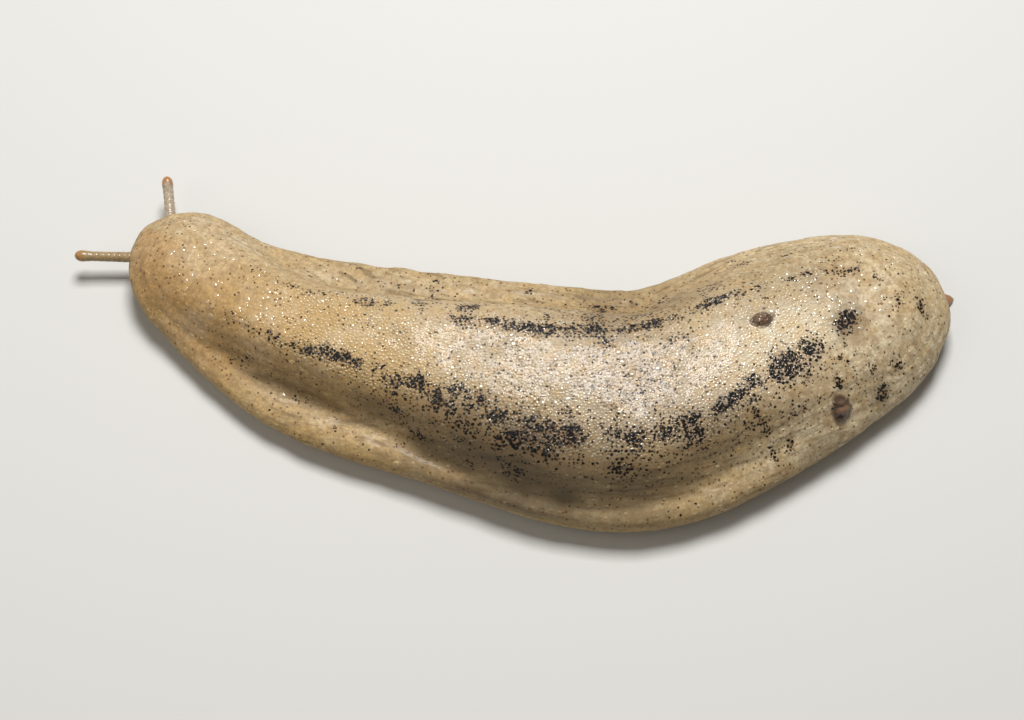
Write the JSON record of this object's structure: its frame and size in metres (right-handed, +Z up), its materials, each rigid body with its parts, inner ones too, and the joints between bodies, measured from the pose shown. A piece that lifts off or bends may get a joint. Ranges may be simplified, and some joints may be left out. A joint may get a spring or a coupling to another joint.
{
  "type": "leatherleaf slug",
  "caption": "Still, life-size leatherleaf slug creeping in a shallow bend, its broad back plate over a narrow foot and a hooded head with spread tentacles.",
  "frame": {"origin": "on the floor, under the middle of the whole animal's box", "axes": "+X from head to tail, +Y towards the animal's right side, +Z up from the floor"},
  "size_m": [0.0946, 0.0398, 0.0112],
  "materials": {
    "notum_skin": "wet, finely pebbled tan hide with black speckled lines",
    "foot_skin": "smooth wet flesh with fine cross ripples",
    "head_skin": "wet wrinkled flesh",
    "tentacle_skin": "wet, finely ringed, slightly translucent flesh",
    "eye": "glossy near-black bead"
  },
  "bodies": {
    "root": {"notum_front": "notum_skin", "notum_fore": "notum_skin", "notum_hind": "notum_skin", "notum_rear": "notum_skin", "foot_front": "foot_skin", "foot_middle": "foot_skin", "foot_rear": "foot_skin", "head": "head_skin", "upper_tentacle_left": "tentacle_skin", "upper_tentacle_right": "tentacle_skin", "lower_tentacle_left": "tentacle_skin", "lower_tentacle_right": "tentacle_skin", "eye_left": "eye", "eye_right": "eye"}
  },
  "joints": []
}
